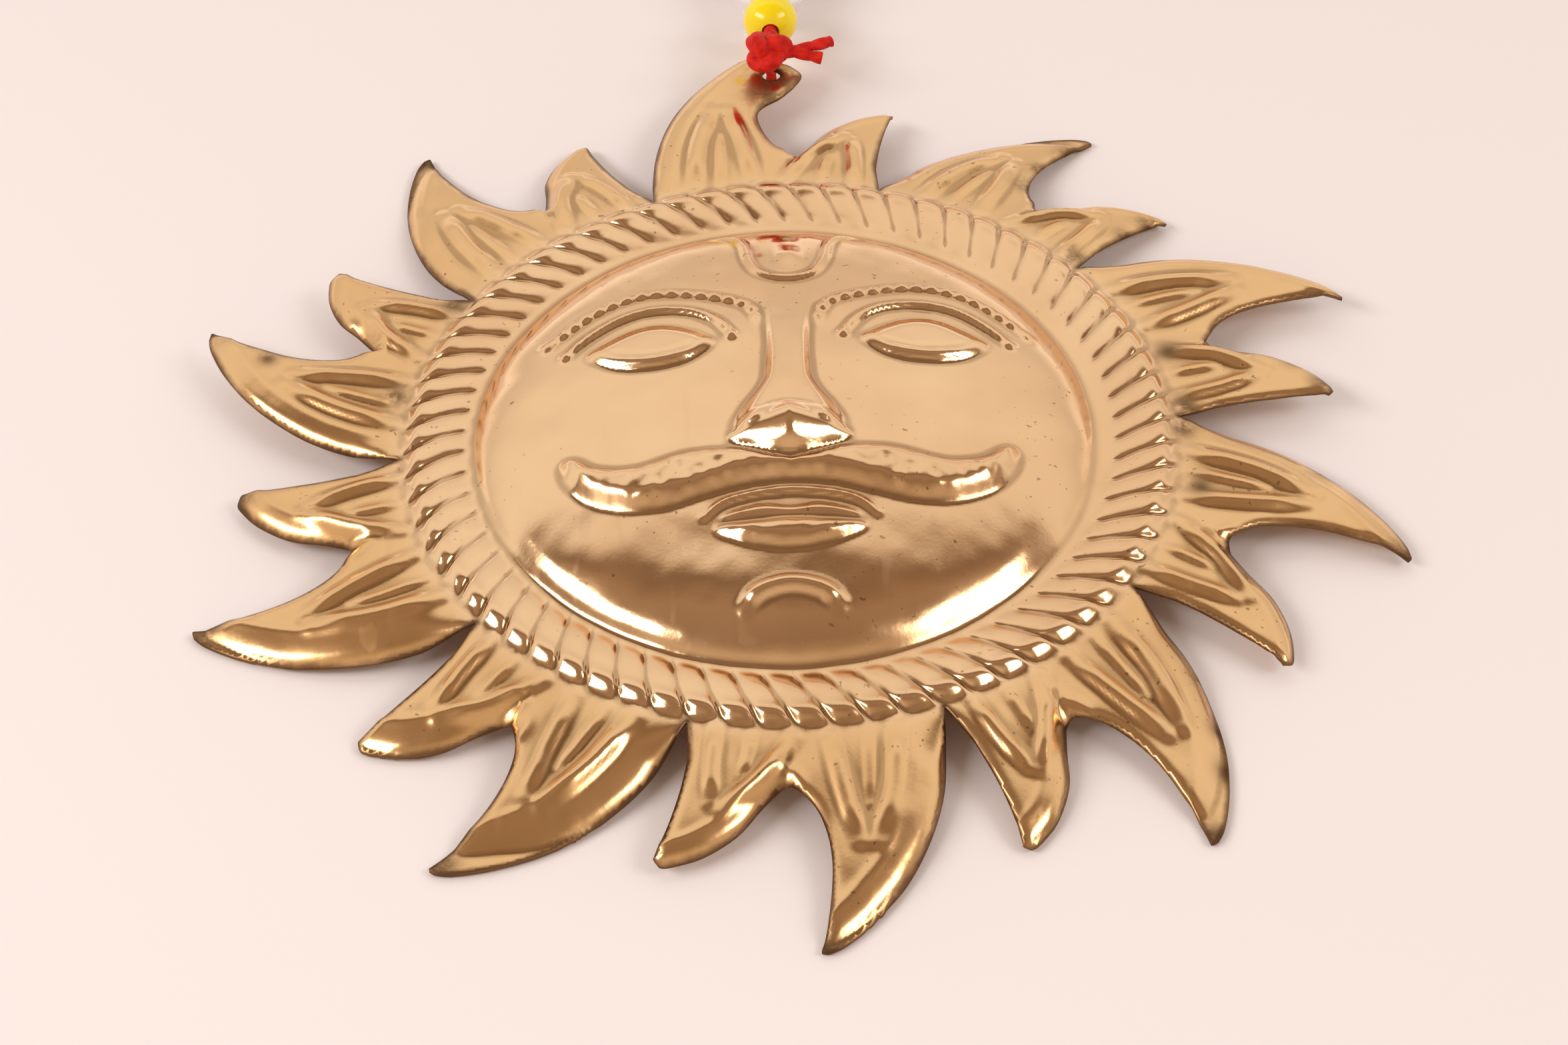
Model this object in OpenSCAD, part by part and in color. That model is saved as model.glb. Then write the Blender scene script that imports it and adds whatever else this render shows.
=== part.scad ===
// Sun-face wall hanging: a stamped brass sun on a beaded red hanging thread.
// It lies on its back. +Z is out of the face, +Y runs toward the hanging ray,
// and z = 0 is the surface that the drooping ray tips rest on.

/* [Sun plate] */
// Thickness of the stamped sheet
sheet_t = 0.4; // [0.3:0.05:0.6]
// Radius of the deep notches between ray pairs
notch_r = 39; // [38.5:0.1:40]
// Radius that the long ray tips reach
tip_r = 62.3; // [61:0.1:63]
// Height of the sheet's top face at the notches
notch_z = 4.2; // [4.2:0.1:6]

/* [Face dome] */
// Radius of the dome where it meets the border
dome_r = 30; // [29.5:0.1:31]
// Height of the dome above the notch plane
dome_h = 7; // [5:0.1:9]
// Radius of the rolled edge of the dome
knuckle_r = 3; // [2:0.1:4]

/* [Rope border] */
// Radius of the crest of the rope border
rope_r = 34.9; // [34.5:0.1:35.2]
// Height of the crest above the notch plane
rope_h = 1.2; // [0.8:0.1:1.4]
// Radius of the border's rounded section
rope_section_r = 4.2; // [3.8:0.1:4.5]

/* [Relief] */
// Height of the raised lines on the rays
rib_h = 0.7; // [0.4:0.1:1]
// Width of the raised lines on the rays
rib_w = 1.3; // [1:0.1:1.6]
// Height of the brows, lids and other fine lines of the face
line_h = 0.8; // [0.4:0.1:1.2]
// Height of the moustache, lips and eyes
form_h = 1.4; // [0.8:0.1:2]
// Height of the nose tip
nose_h = 3; // [2:0.1:4]

/* [Hanging thread] */
// Diameter of the thread
thread_d = 0.9; // [0.7:0.05:1.1]
// Diameter of the hole in the hanging ray
hole_d = 2; // [1.8:0.05:2.4]
// Radius of the loop that ties the thread to the ray
tie_r = 1.9; // [1.85:0.05:2]
// Radius of the lower knot
lower_knot_r = 2.2; // [2:0.1:2.3]
// Radius of the upper knot
upper_knot_r = 1.9; // [1.5:0.1:2]
// Angle that the beaded strand falls by toward the surface
strand_tilt = 10; // [9.8:0.1:10]

/* [Beads] */
// Radius of the yellow bead
yellow_r = 3; // [2.6:0.1:3]
// Distance of the yellow bead from the lower knot's middle
yellow_at = 7.5; // [7:0.1:7.5]
// Radius of the clear bead
clear_r = 4.05; // [3.5:0.05:4.05]
// Distance of the clear bead from the lower knot's middle
clear_at = 15.1; // [15:0.1:15.5]
// Diameter of the holes through the beads
bead_hole_d = 1.9; // [1.7:0.1:2.2]

/* [Hidden] */
$fn = 48;

pair_count = 10;
pair_step = 360 / pair_count;
// Direction of the notch that starts the first pair, counter-clockwise from +X
first_notch = 111;
// How far the long tip of each pair droops below the notch plane
pair_droop = [0, 3.8, 0.8, 2.4, 3.8, 3, 3.8, 3, 0, 3.8];
// Radius inside which the rays are one with the border
root_r = 38.1;
// Outer radius of the dome and the border
disc_r = 38.4;
deep = 30;

brass = [0.85, 0.64, 0.42];
red = [0.75, 0.08, 0.06];

// Outlines of one ray pair: [clockwise, outward] from the notch that starts it
long_outer = [[0, 39], [1.2, 42.4], [3.2, 46.9], [6.2, 51.1], [10, 54.8], [14, 57.4],
              [17.4, 58.9], [19.2, 59.2]];
long_inner = [[19.9, 58.9], [18.6, 57], [17.2, 54.2], [15.9, 51], [15.2, 47.7], [15.3, 44.6],
              [16.6, 41.8]];
// The hanging ray ends in a broad lug that holds the hole
lug_outer = [[0, 39], [1.3, 42.8], [3.4, 47.3], [6.4, 51.5], [10.2, 55], [14.2, 57.3],
             [16.4, 58.2], [18.2, 58.5], [20, 57.2]];
lug_inner = [[22, 55.4], [22.7, 53.2], [21.4, 51.6], [19.2, 50.3], [16.9, 49.6], [15.6, 48.4],
             [15.2, 45.6], [15.5, 43.2], [16.6, 41.8]];
short_outer = [[17.6, 41.9], [19.8, 43.3], [22.7, 45.3], [26.4, 46.4], [29.5, 46.4], [30.5, 46.1]];
short_inner = [[30.9, 45.3], [28.7, 42.6], [26.4, 39.2], [24.4, 35.7], [22.9, 31.6]];

// Raised lines of one ray pair, in the same coordinates
ray_lines = [[[5, 39.6], [7.6, 45.4], [11.1, 50.6]], [[7.8, 39.2], [9.2, 43.2], [10.5, 46.6]],
             [[11.2, 38.4], [12.2, 44.4], [12.7, 50]], [[14.6, 37.2], [19, 40.6], [23.6, 42.6]],
             [[18, 35.6], [19.2, 37.8], [20.3, 39.7]], [[20.8, 33.4], [22.7, 37.6], [24, 41.6]]];

// Fine lines of the face, right-hand side: [across, up], on the dome
brow = [[3.4, 11.8], [5, 13.6], [8, 15.4], [12, 16.7], [16, 16.3], [20, 14.6], [24, 10.6]];
lid = [[5.4, 7.8], [7, 10.6], [9.6, 12.7], [13.5, 13.4], [17, 12.5], [20, 10.5], [22.2, 7.6]];
// Fine lines on the middle of the face
lip_line = [[-8.2, -16.4], [-6, -14.7], [0, -13.8], [6, -14.7], [8.2, -16.4]];
chin_line = [[-4.9, -26.2], [-3.2, -24.3], [0, -23.4], [3.2, -24.3], [4.9, -26.2]];
brow_mark = [[-5.4, 27.4], [-4.2, 22.8], [-2.8, 18.6], [0, 17.2], [2.8, 18.6], [4.2, 22.8], [5.4, 27.4]];

// Closed forms of the face
eye = [[7.8, 7.3], [10.5, 9.9], [14, 10.8], [17.2, 9.4], [19.6, 7.2], [17, 5.1], [13.5, 4.4],
       [10.2, 5.2]];
moustache = [[0, -9.7], [5, -8.5], [10, -8.2], [15, -9.6], [19, -9], [21.6, -7.2], [20, -11.6],
             [16, -14.5], [12, -15], [8, -14], [0, -12.5], [-8, -14], [-12, -15], [-16, -14.5],
             [-20, -11.6], [-21.6, -7.2], [-19, -9], [-15, -9.6], [-10, -8.2], [-5, -8.5]];
lips = [[-6.8, -17.8], [-3, -16.6], [0, -16.9], [3, -16.6], [6.8, -17.8], [3.6, -19.4], [0, -19.9],
        [-3.6, -19.4]];
nose_bridge = [[-2.2, 13], [2.2, 13], [2.4, 6], [3, -1], [5.2, -5.6], [-5.2, -5.6], [-3, -1],
               [-2.4, 6]];
nose_tip = [[-5.9, -6.6], [-2.6, -4], [0, -3.6], [2.6, -4], [5.9, -6.6], [2.8, -9], [0, -9.6],
            [-2.8, -9]];

// The dome's cap is a part of a large sphere that the knuckle rolls over smoothly
cap_r = 101;
knuckle_at = dome_r - knuckle_r;
knuckle_z = dome_h - cap_r + sqrt(pow(cap_r - knuckle_r, 2) - pow(knuckle_at, 2));
// The flat rim of the disc, wider than any skin cut from it
rim_r = disc_r + 2;

// Places along the thread
thread_x = -1.2;
hole_y = 57.4;
knot_y = 58.1;
knot_z = notch_z + lower_knot_r + 0.3;
tie_y = hole_y + tie_r;
clearance = 0.1;
strand_d = 1.4;
tie_from = 178;
tie_sweep = 210;
strand_start = lower_knot_r + clearance;
upper_at = clear_at + clear_r + upper_knot_r + 0.2;
strand_end = upper_at - upper_knot_r / 2;

// Route of the hanging loop, from the upper knot out along the surface and back
loop_route = [[-0.4, 81.4, 2.7], [1.4, 83.6, 1.7], [3.6, 86.4, 0.9], [5.6, 89.8, 0.5],
              [6.8, 93.6, 0.5], [6.8, 97.4, 0.5], [5.4, 101, 0.5], [2.8, 103.6, 0.5],
              [-0.6, 104.6, 0.5], [-4, 103.8, 0.5], [-6.8, 101.4, 0.5], [-8.4, 98, 0.5],
              [-8.8, 94.2, 0.5], [-8, 90.4, 0.5], [-6.2, 86.9, 0.8], [-4.2, 83.9, 1.7],
              [-2.2, 81.5, 2.7]];

// A smooth curve through open points, with n steps a span
function along(p, i) = p[max(0, min(len(p) - 1, i))];
function curve_point(a, b, c, d, t) =
    0.5 * (2 * b + (c - a) * t + (2 * a - 5 * b + 4 * c - d) * t * t
           + (3 * b - a - 3 * c + d) * t * t * t);
function curve(p, n) = [
    for (i = [0 : len(p) - 2], s = [0 : n - 1])
        curve_point(along(p, i - 1), p[i], p[i + 1], along(p, i + 2), s / n),
    p[len(p) - 1]];
function ring(p, n) = [
    for (i = [0 : len(p) - 1], s = [0 : n - 1])
        curve_point(p[(i + len(p) - 1) % len(p)], p[i], p[(i + 1) % len(p)],
                    p[(i + 2) % len(p)], s / n)];
function unit(v) = v / norm(v);
function side(p, i) =
    let (d = unit(along(p, i + 1) - along(p, i - 1))) [-d[1], d[0]];
// Outline of a line that swells from narrow ends to width w
function swelling(i, last) = 0.35 + 0.65 * sin(180 * i / last);
function stroke(p, w) = let (last = len(p) - 1) concat(
    [for (i = [0 : last]) p[i] + side(p, i) * w / 2 * swelling(i, last)],
    [for (i = [last : -1 : 0]) p[i] - side(p, i) * w / 2 * swelling(i, last)]);
function root_arc() = [for (a = [pair_step : -6 : 0]) [root_r * sin(a), root_r * cos(a)]];

// Region under the pressed surface raised by g, as a section from the axis outward
module section(g) {
    union() {
        intersection() {
            translate([0, dome_h - cap_r]) circle(r = cap_r + g);
            translate([0, -deep]) square([knuckle_at, 2 * deep]);
        }
        translate([knuckle_at, knuckle_z]) circle(r = knuckle_r + g);
        translate([0, knuckle_z - deep]) square([dome_r + g, deep]);
        translate([rope_r, rope_h - rope_section_r]) circle(r = rope_section_r + g);
        translate([0, g - deep]) square([rim_r, deep]);
    }
}

// A skin of the pressed disc between two heights, out to radius r
module disc_skin(low, high, r) {
    translate([0, 0, notch_z]) rotate_extrude() intersection() {
        difference() {
            section(high);
            section(low);
        }
        translate([0, low - 1]) square([r, deep]);
    }
}

// A skin of the rays between two heights, drooping by droop at the long tips
module ray_skin(low, high, droop) {
    slope = droop / (tip_r - notch_r);
    far = tip_r + 4;
    fall = slope * (far - notch_r);
    translate([0, 0, notch_z]) rotate_extrude() polygon([
        [root_r - 1, low], [notch_r, low], [far, low - fall],
        [far, high - fall], [notch_r, high], [root_r - 1, high]]);
}

// Points are clockwise and outward from a notch, so a pair is turned to its place
module at_pair(k) {
    rotate(first_notch - 90 - k * pair_step) children();
}

module pair_outline(k) {
    long_side = k == 0 ? curve(lug_outer, 3) : curve(long_outer, 3);
    back_side = k == 0 ? curve(lug_inner, 3) : curve(long_inner, 3);
    polygon(concat(long_side, back_side, curve(short_outer, 3), curve(short_inner, 3),
                   root_arc()));
}

module ray_pair(k) {
    at_pair(k) intersection() {
        translate([0, 0, -deep]) linear_extrude(2 * deep) pair_outline(k);
        ray_skin(-sheet_t, 0, pair_droop[k]);
    }
    at_pair(k) intersection() {
        translate([0, 0, -deep]) linear_extrude(2 * deep)
            for (line = ray_lines) polygon(stroke(curve(line, 3), rib_w));
        ray_skin(-sheet_t / 2, rib_h, pair_droop[k]);
    }
}

// Raises the children's outlines out of the dome by h
module raised(h) {
    intersection() {
        translate([0, 0, notch_z]) linear_extrude(deep) children();
        disc_skin(-sheet_t / 2, h, dome_r - 1);
    }
}

module both_sides() {
    children();
    mirror([1, 0, 0]) children();
}

module face() {
    raised(line_h) {
        both_sides() {
            polygon(stroke(curve(brow, 4), rib_w));
            polygon(stroke(curve(lid, 4), rib_w));
        }
        polygon(stroke(curve(lip_line, 4), rib_w));
        polygon(stroke(curve(chin_line, 4), 2 * rib_w));
        polygon(stroke(curve(brow_mark, 4), rib_w));
        polygon(nose_bridge);
    }
    raised(form_h) {
        both_sides() polygon(ring(eye, 3));
        polygon(ring(moustache, 3));
        polygon(ring(lips, 3));
    }
    raised(nose_h) polygon(ring(nose_tip, 3));
}

module sun_plate() {
    color(brass) difference() {
        union() {
            disc_skin(-sheet_t, 0, disc_r);
            for (k = [0 : pair_count - 1]) ray_pair(k);
            face();
        }
        translate([thread_x, hole_y, 0]) cylinder(d = hole_d, h = deep);
    }
}

// An arc of thread that passes down the hole, under the sheet and up past its edge
module tie_loop() {
    color(red) translate([thread_x, tie_y, notch_z - sheet_t / 2]) rotate([90, 0, 90])
        rotate(tie_from) rotate_extrude(angle = tie_sweep) translate([tie_r, 0])
            circle(d = thread_d);
}

// A round knot with two turns of thread that stand out of it
module knot(r) {
    sphere(r = r - thread_d / 3);
    for (turn = [-35, 35]) rotate([turn, turn / 2, 0]) rotate_extrude()
        translate([r - thread_d / 2, 0]) circle(d = thread_d);
}

module lower_knot() {
    color(red) translate([thread_x, knot_y, knot_z]) knot(lower_knot_r);
}

// A cut end of thread that leaves the lower knot toward an angle about +Z
module knot_tail(turn, rise, l) {
    color(red) translate([thread_x, knot_y, knot_z]) rotate([0, -rise, turn])
        translate([lower_knot_r - thread_d / 2, 0, 0]) rotate([0, 90, 0])
            cylinder(d1 = thread_d, d2 = 1.4 * thread_d, h = l);
}

module knot_tail_long() {
    knot_tail(33, -7, 6.2);
}

module knot_tail_short() {
    knot_tail(8, -19, 4.3);
}

// Turns the children's +X onto the strand, with its zero at the lower knot
module on_strand() {
    translate([thread_x, knot_y, knot_z]) rotate([-strand_tilt, 0, 0]) rotate(90) children();
}

module bead_strand() {
    color(red) on_strand() translate([strand_start, 0, 0]) rotate([0, 90, 0])
        cylinder(d = strand_d, h = strand_end - strand_start);
}

module bead(r, at) {
    on_strand() translate([at, 0, 0]) rotate([0, 90, 0]) difference() {
        sphere(r = r);
        cylinder(d = bead_hole_d, h = 3 * r, center = true);
    }
}

module yellow_bead() {
    color("gold") bead(yellow_r, yellow_at);
}

module clear_bead() {
    color("whitesmoke", 0.5) bead(clear_r, clear_at);
}

module upper_knot() {
    color(red) on_strand() translate([upper_at, 0, 0]) knot(upper_knot_r);
}

// A tube of eight sides swept along the loop's route
module hanging_loop() {
    route = curve(loop_route, 4);
    last = len(route) - 1;
    sides = 8;
    points = [for (i = [0 : last], s = [0 : sides - 1])
        let (t = unit(along(route, i + 1) - along(route, i - 1)),
             a = unit(cross(t, [0, 0, 1])), b = cross(a, t))
        route[i] + thread_d / 2 * (cos(45 * s) * a + sin(45 * s) * b)];
    faces = concat(
        [[for (s = [0 : sides - 1]) s]],
        [for (i = [0 : last - 1], s = [0 : sides - 1])
            [i * sides + s, (i + 1) * sides + s, (i + 1) * sides + (s + 1) % sides,
             i * sides + (s + 1) % sides]],
        [[for (s = [sides - 1 : -1 : 0]) last * sides + s]]);
    color(red) polyhedron(points, faces);
}

sun_plate();
tie_loop();
lower_knot();
knot_tail_long();
knot_tail_short();
bead_strand();
yellow_bead();
clear_bead();
upper_knot();
hanging_loop();
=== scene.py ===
"""Looks for the sun-face wall hanging: the stamped sheet, its beaded red thread, the floor and the light.

Shapes are worked out in millimetres in the frame's axes, and are turned to metres as each mesh is made.
The sheet's heights are over its notch plane, which lies NOTCH_Z above the frame's origin."""

import math

import bpy
import numpy as np
from mathutils import Matrix, Vector
from mathutils.geometry import delaunay_2d_cdt
from mathutils.kdtree import KDTree


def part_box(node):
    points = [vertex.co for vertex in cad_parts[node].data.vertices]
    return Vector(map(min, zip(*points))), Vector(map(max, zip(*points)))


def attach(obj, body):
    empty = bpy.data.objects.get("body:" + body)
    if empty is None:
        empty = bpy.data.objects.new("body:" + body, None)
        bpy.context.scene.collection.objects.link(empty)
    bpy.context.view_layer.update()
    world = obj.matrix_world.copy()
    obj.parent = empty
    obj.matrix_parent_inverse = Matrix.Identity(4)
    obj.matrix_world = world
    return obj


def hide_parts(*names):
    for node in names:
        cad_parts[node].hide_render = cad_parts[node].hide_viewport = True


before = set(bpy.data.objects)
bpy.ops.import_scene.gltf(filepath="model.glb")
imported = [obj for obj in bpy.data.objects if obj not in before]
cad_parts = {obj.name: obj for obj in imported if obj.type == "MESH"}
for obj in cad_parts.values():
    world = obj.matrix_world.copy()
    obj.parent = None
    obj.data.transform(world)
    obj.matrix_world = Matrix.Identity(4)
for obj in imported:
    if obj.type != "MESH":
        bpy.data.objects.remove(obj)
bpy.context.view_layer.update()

# One millimetre in metres
MM = 0.001

# The sheet in millimetres: its thickness, the level and radius of the notches between its ray pairs, the
# radii that the long and the short ray tips reach, and the radii of its hole and of its border's two sides
SHEET = 0.4
NOTCH_Z = 4.2
NOTCH_R = 39.0
TIP_R = 62.3
SHORT_TIP_R = 55.0
HOLE_R = 1.0
BORDER_IN = 29.3
BORDER_OUT = 38.9

# How many strands the border's rope shows
STRANDS = 70

# The ray pairs go clockwise from the first notch, in degrees
PAIRS = 10
PAIR_STEP = 360.0 / PAIRS
FIRST_NOTCH = 111.0

# The camera: what it looks at, its height over the horizon and its roll in degrees, then how far away it is
# and its focal length. Lengths are in millimetres.
AIM = (-0.699, -11.933, NOTCH_Z)
ELEVATION = 45.43
CAMERA_ROLL = -1.05
DISTANCE = 389.75
LENS = 91.32

# The thread as the CAD has it, and the fuller yarn of each piece of it, as radii in millimetres
THREAD_R = 0.45
LOWER_KNOT_YARN = 0.95
UPPER_KNOT_YARN = 0.8
STRAND_YARN = 0.8
TAIL_YARN = 0.62
TIE_YARN = 0.6

# Half-sizes of the knots, and how the lower one is stretched and shifted off its CAD middle
LOWER_KNOT = 2.2
UPPER_KNOT = 1.9
KNOT_STRETCH = (1.35, 1.2, 1.15)
KNOT_SHIFT = (-0.4, 0.3, 0.0)

# The beads, as (node, radius), the radius of their holes and how far they stay inside their CAD solids
BEADS = (("yellow_bead", 3.0), ("clear_bead", 4.05))
BORE = 0.95
BEAD_ROOM = 0.02

# The floor's half-width, and how far below the frame's origin it lies, in metres
FLOOR_REACH = 1.2
FLOOR_DROP = 0.0002


# ---------------------------------------------------------------- camera

def node_middle(name):
    """The middle of a CAD node's box, in metres."""
    low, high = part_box(name)
    return (Vector(low) + Vector(high)) / 2


def add_camera():
    data = bpy.data.cameras.new("camera")
    data.lens = LENS
    data.sensor_width = 36.0
    data.clip_start = 0.01
    data.clip_end = 20.0
    camera = bpy.data.objects.new("camera", data)
    elevation = math.radians(ELEVATION)
    back = Vector((0.0, -math.cos(elevation), math.sin(elevation)))
    across = Vector((1.0, 0.0, 0.0))
    up = back.cross(across)
    turn = Matrix((across, up, back)).transposed() @ Matrix.Rotation(math.radians(CAMERA_ROLL), 3, "Z")
    camera.matrix_world = Matrix.Translation(Vector(AIM) * MM + back * (DISTANCE * MM)) @ turn.to_4x4()
    bpy.context.scene.collection.objects.link(camera)
    bpy.context.scene.camera = camera


# ---------------------------------------------------------------- curves and outlines

def smooth(points, steps, closed=False):
    """A Catmull-Rom curve through the points, with that many steps a span."""
    p = np.asarray(points, float)
    n = len(p)
    spans = n if closed else n - 1
    out = []
    for i in range(spans):
        if closed:
            a, b, c, d = (p[(i + k) % n] for k in (-1, 0, 1, 2))
        else:
            a, b, c, d = (p[min(max(i + k, 0), n - 1)] for k in (-1, 0, 1, 2))
        for s in range(steps):
            t = s / steps
            out.append(0.5 * (2 * b + (c - a) * t + (2 * a - 5 * b + 4 * c - d) * t ** 2
                              + (3 * b - a - 3 * c + d) * t ** 3))
    if not closed:
        out.append(p[-1])
    return np.array(out)


def even(points, step, closed=False):
    """The same line with its points that far apart."""
    p = np.asarray(points, float)
    if closed:
        p = np.vstack([p, p[:1]])
    far = np.concatenate([[0], np.cumsum(np.linalg.norm(np.diff(p, axis=0), axis=1))])
    count = max(2, int(round(far[-1] / step)) + 1)
    at = np.linspace(0, far[-1], count)
    out = np.column_stack([np.interp(at, far, p[:, k]) for k in range(p.shape[1])])
    return out[:-1] if closed else out


def line_distance(xy, line):
    """Distance of each point from an open line, and how far along the line the nearest place is, 0 to 1."""
    p = np.asarray(line, float)
    near = np.full(len(xy), 1e9)
    place = np.zeros(len(xy))
    lengths = np.linalg.norm(np.diff(p, axis=0), axis=1)
    total, done = lengths.sum(), 0.0
    for a, b, size in zip(p[:-1], p[1:], lengths):
        t = np.clip(((xy - a) @ (b - a)) / size ** 2, 0, 1)
        d = np.linalg.norm(xy - (a + t[:, None] * (b - a)), axis=1)
        nearer = d < near
        near[nearer] = d[nearer]
        place[nearer] = ((done + t * size) / total)[nearer]
        done += size
    return near, place


def inside(xy, loop):
    """Which points lie inside a closed outline."""
    x, y = xy[:, 0], xy[:, 1]
    hit = np.zeros(len(xy), bool)
    for (ax, ay), (bx, by) in zip(loop, np.roll(loop, -1, axis=0)):
        if ay == by:
            continue
        crosses = (ay > y) != (by > y)
        hit ^= crosses & (x < (bx - ax) * (y - ay) / (by - ay) + ax)
    return hit


def step01(x):
    """A smooth step from 0 to 1 as x goes from 0 to 1."""
    t = np.clip(x, 0, 1)
    return t * t * (3 - 2 * t)


def waves(xy, seed, size, count=14):
    """A gentle seeded unevenness, about -1 to 1, whose swells are size across."""
    rng = np.random.default_rng(seed)
    out = np.zeros(len(xy))
    for _ in range(count):
        turn, phase, scale = rng.uniform(0, 2 * math.pi), rng.uniform(0, 2 * math.pi), rng.uniform(0.7, 1.6)
        out += np.sin((xy[:, 0] * math.cos(turn) + xy[:, 1] * math.sin(turn)) * scale * 2 * math.pi / size
                      + phase)
    return out / math.sqrt(count)


# ---------------------------------------------------------------- the sun plate's outline

# One ray pair, as [clockwise, outward] from the notch that starts it
LONG_OUTER = [(0, 39), (1.2, 42.4), (3.2, 46.9), (6.2, 51.1), (10, 54.8), (14, 57.4), (17.4, 58.9),
              (19.2, 59.2)]
LONG_INNER = [(19.9, 58.9), (18.6, 57), (17.2, 54.2), (15.9, 51), (15.2, 47.7), (15.3, 44.6),
              (16.6, 41.8)]
LUG_OUTER = [(0, 39), (1.3, 42.8), (3.4, 47.3), (6.4, 51.5), (10.2, 55), (14.2, 57.3), (16.4, 58.2),
             (18.2, 58.5), (20, 57.2)]
LUG_INNER = [(22, 55.4), (22.7, 53.2), (21.4, 51.6), (19.2, 50.3), (16.9, 49.6), (15.6, 48.4),
             (15.2, 45.6), (15.5, 43.2), (16.6, 41.8)]
SHORT_OUTER = [(17.6, 41.9), (19.8, 43.3), (22.7, 45.3), (26.4, 46.4), (29.5, 46.4), (30.5, 46.1)]
SHORT_INNER = [(30.9, 45.3), (28.7, 42.6), (26.4, 39.2), (24.4, 35.7), (22.9, 31.6)]

# Where each hand-cut ray strays from the pattern at its tip, for the pairs in clockwise order:
# (outward, clockwise, droop) of the long ray, then the same of the short ray
STRAY = [((0, 0, 0), (-1.6, -0.2, 1.2)), ((-2.6, 0.9, 3.8), (-1.1, 0.1, 2.8)),
         ((-0.6, 0.5, 0.9), (0.4, -1.2, 0.4)), ((0.4, -1.3, 2.3), (0.6, 1.1, 2.0)),
         ((1.2, 1.6, 3.8), (0.1, 0.5, 2.7)), ((0.3, 0.6, 3.0), (-0.9, 0.9, 1.9)),
         ((-0.1, -0.6, 3.7), (0.2, -0.6, 2.7)), ((0, 0, 3.0), (0.2, 0.6, 2.0)),
         ((0, 1.3, 0), (-0.6, -1.2, 0.6)), ((-0.1, -0.2, 3.7), (-0.9, -0.9, 2.8))]

# How wide and how deep the outer edge of each pair's long ray is rolled down
ROLL = [(2.2, 0.8), (2.2, 0.8), (1.8, 0.7), (2.6, 0.9), (3.4, 1.3), (3.0, 1.3), (4.4, 1.7), (3.2, 1.4),
        (2.4, 0.9), (2.2, 0.8)]

# Raised lines of one pair, in the same coordinates: the line, its half-width and its height
RAY_LINES = [([(5, 39.6), (7.6, 45.4), (11.1, 50.6)], 1.25, 0.75),
             ([(11.2, 38.4), (12.2, 44.4), (12.7, 50)], 1.1, 0.65),
             ([(7.8, 39.2), (9.2, 43.2), (10.5, 46.6)], 0.7, 0.3),
             ([(14.6, 37.2), (19, 40.6), (23.6, 42.6)], 1.05, 0.65),
             ([(20.8, 33.4), (22.7, 37.6), (24, 41.6)], 0.95, 0.6),
             ([(18, 35.6), (19.2, 37.8), (20.3, 39.7)], 0.7, 0.3)]


def from_pair(points, k):
    """Points of pair k's coordinates in the frame's axes."""
    a = math.radians(FIRST_NOTCH - 90 - k * PAIR_STEP)
    turn = np.array([[math.cos(a), math.sin(a)], [-math.sin(a), math.cos(a)]])
    return np.asarray(points, float) @ turn


def pair_places(xy):
    """Each point's pair, and its clockwise angle from that pair's first notch in degrees."""
    clockwise = (FIRST_NOTCH - np.degrees(np.arctan2(xy[:, 1], xy[:, 0]))) % 360
    k = np.minimum((clockwise / PAIR_STEP).astype(int), PAIRS - 1)
    return k, clockwise - k * PAIR_STEP


def star_outline(step):
    """The plate's outline before its rays stray from the pattern."""
    points = []
    for k in range(PAIRS):
        outer, inner = (LUG_OUTER, LUG_INNER) if k == 0 else (LONG_OUTER, LONG_INNER)
        for part in (outer, inner, SHORT_OUTER, SHORT_INNER[:-1]):
            points.extend(from_pair(smooth(part, 8), k))
    return even(points, step, closed=True)


# ---------------------------------------------------------------- the sun plate's pressed surface

# Section of the pressed disc, as [outward, up]: the dome, its rolled edge, the low border and its foot
SECTION = [(0, 7), (8, 6.68), (16, 5.75), (20, 5.05), (23, 4.4), (25.5, 3.72), (27.3, 3.06), (28.7, 2.3),
           (29.9, 1.4), (30.8, 0.56), (31.3, 0.28), (32, 0.28), (33, 0.5), (34.2, 0.72), (35.6, 0.85),
           (36.8, 0.84), (37.6, 0.62), (38.3, 0.25), (38.9, 0.04), (39.6, 0), (70, 0)]


# How far off the middle the dome was struck, in millimetres, and in which direction, in degrees
DOME_OFF = 0.8
DOME_TOWARD = -145


def section(r, angle):
    """Height of the disc, with the dome off the middle and the border's outside on it."""
    off = DOME_OFF * np.cos(angle - math.radians(DOME_TOWARD)) * (1 - step01((r - 30) / 5))
    line = smooth(SECTION, 12)
    return np.interp(r - off, line[:, 0], line[:, 1])


def rope(r, angle):
    """What the twist adds to the border: slanted strands that end in small beads at their outer ends."""
    turn = (angle * STRANDS / (2 * math.pi) - 0.17 * (r - 35.5)) % 1.0
    gap = np.abs(2 * turn - 1)
    strand = np.sqrt(np.clip(1 - gap ** 2.6, 0, 1))
    depth = (0.42 + 0.2 * step01((r - 35) / 3)) * step01((39.2 - r) / 1.6) * step01((r - 31.9) / 1.4)
    swell = 0.32 * np.exp(-((r - 37.4) / 0.9) ** 2)
    return swell * strand - depth * (1 - strand)


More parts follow.
